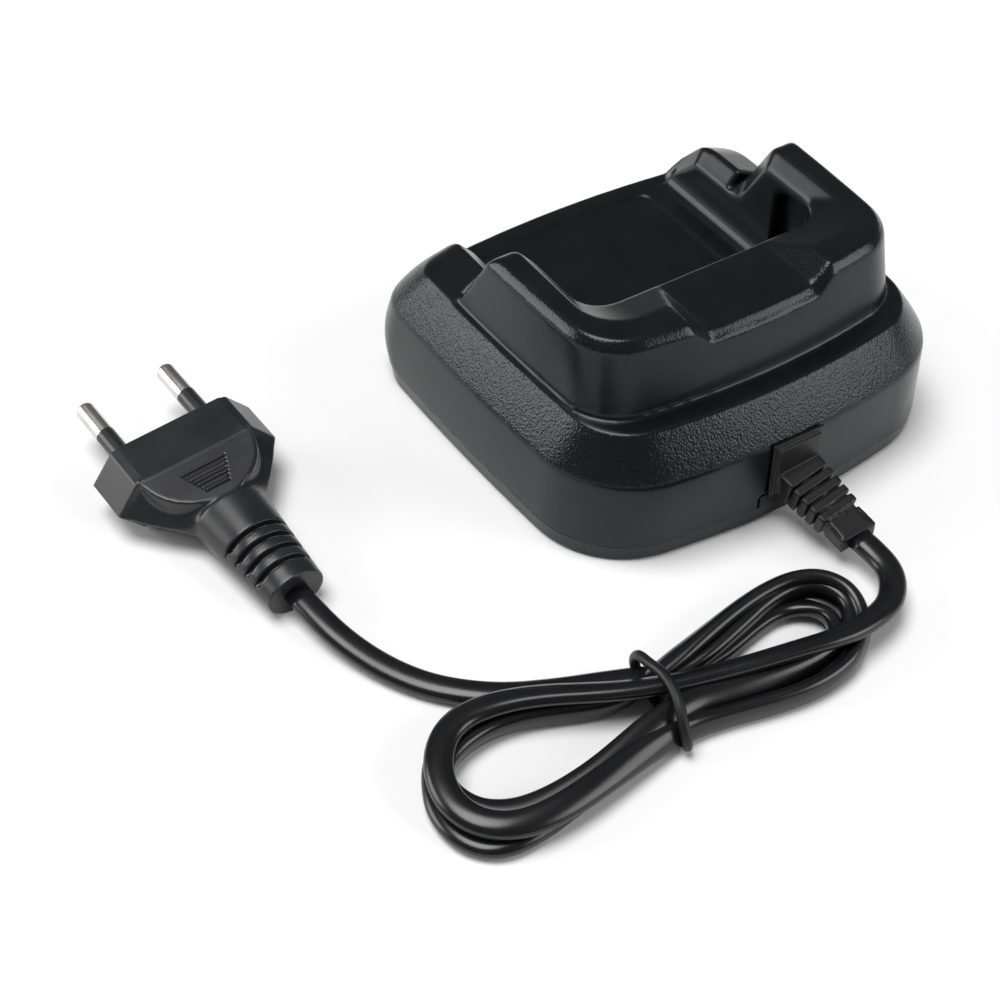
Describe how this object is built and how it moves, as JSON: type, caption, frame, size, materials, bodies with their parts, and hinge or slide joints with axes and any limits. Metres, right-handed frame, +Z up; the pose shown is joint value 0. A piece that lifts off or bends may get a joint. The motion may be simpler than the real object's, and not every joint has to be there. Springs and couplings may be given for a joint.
{
  "type": "desktop radio charger",
  "caption": "Low desktop charger with an open-fronted stepped pocket, sprung charging contacts, and a captive mains cord in a tied hank with a flat two-pin plug.",
  "frame": {"origin": "on the table under the middle of the charger body", "axes": "+Z up from the table, -Y the open front of the pocket, +Y the rear where the cord leaves, +X to the side on which the cord lies"},
  "size_m": [0.1608, 0.1349, 0.0446],
  "materials": {
    "case_black": "moulded, part textured and part satin",
    "cord_black": "satin",
    "foot_rubber": "matt",
    "steel": "zinc plated",
    "nickel": "bright nickel",
    "contact_gold": "gold plated",
    "board_green": "solder mask",
    "ferrite": "matt",
    "bobbin_resin": "moulded",
    "winding_tape": "tape",
    "component_black": "moulded",
    "component_blue": "coated",
    "clear_plastic": "clear",
    "resistor_chip": "glazed",
    "lead_red": "insulation",
    "lead_blue": "insulation"
  },
  "bodies": {
    "charger": {"top_cover": "case_black", "bottom_cover": "case_black", "rubber_feet": "foot_rubber", "case_screws": "steel", "circuit_board": "board_green", "board_screws": "steel", "transformer_core": "ferrite", "transformer_bobbin": "bobbin_resin", "transformer_winding": "winding_tape", "input_capacitor": "component_black", "output_capacitor": "component_black", "rectifier_diodes": "component_black", "fuse_resistor": "component_blue", "switching_transistor": "component_black", "interference_capacitor": "component_blue", "charge_controller": "component_black", "chip_resistors": "resistor_chip", "status_led": "clear_plastic", "status_light_pipe": "clear_plastic", "mains_lead_live": "lead_red", "mains_lead_neutral": "lead_blue", "contact_carrier": "component_black", "contact_terminals": "contact_gold", "contact_spring_left": "steel", "contact_spring_right": "steel", "strain_relief": "cord_black", "cord_charger_end": "cord_black", "cord_hank": "cord_black", "cord_tie": "cord_black", "cord_plug_end": "cord_black", "plug_body": "cord_black", "plug_pins": "nickel", "plug_pin_sleeves": "cord_black"},
    "left_contact": {"contact_pin_left": "contact_gold"},
    "right_contact": {"contact_pin_right": "contact_gold"}
  },
  "joints": [
    {"name": "left_contact_press", "type": "slide", "parent": "charger", "child": "left_contact", "axis": [0, 0, -1], "range_m": [0, 0.0018], "stiffness_N_per_m": 300, "springref_m": -0.0012, "deforming": ["contact_spring_left"]},
    {"name": "right_contact_press", "type": "slide", "parent": "charger", "child": "right_contact", "axis": [0, 0, -1], "range_m": [0, 0.0018], "stiffness_N_per_m": 300, "springref_m": -0.0012, "deforming": ["contact_spring_right"]}
  ]
}
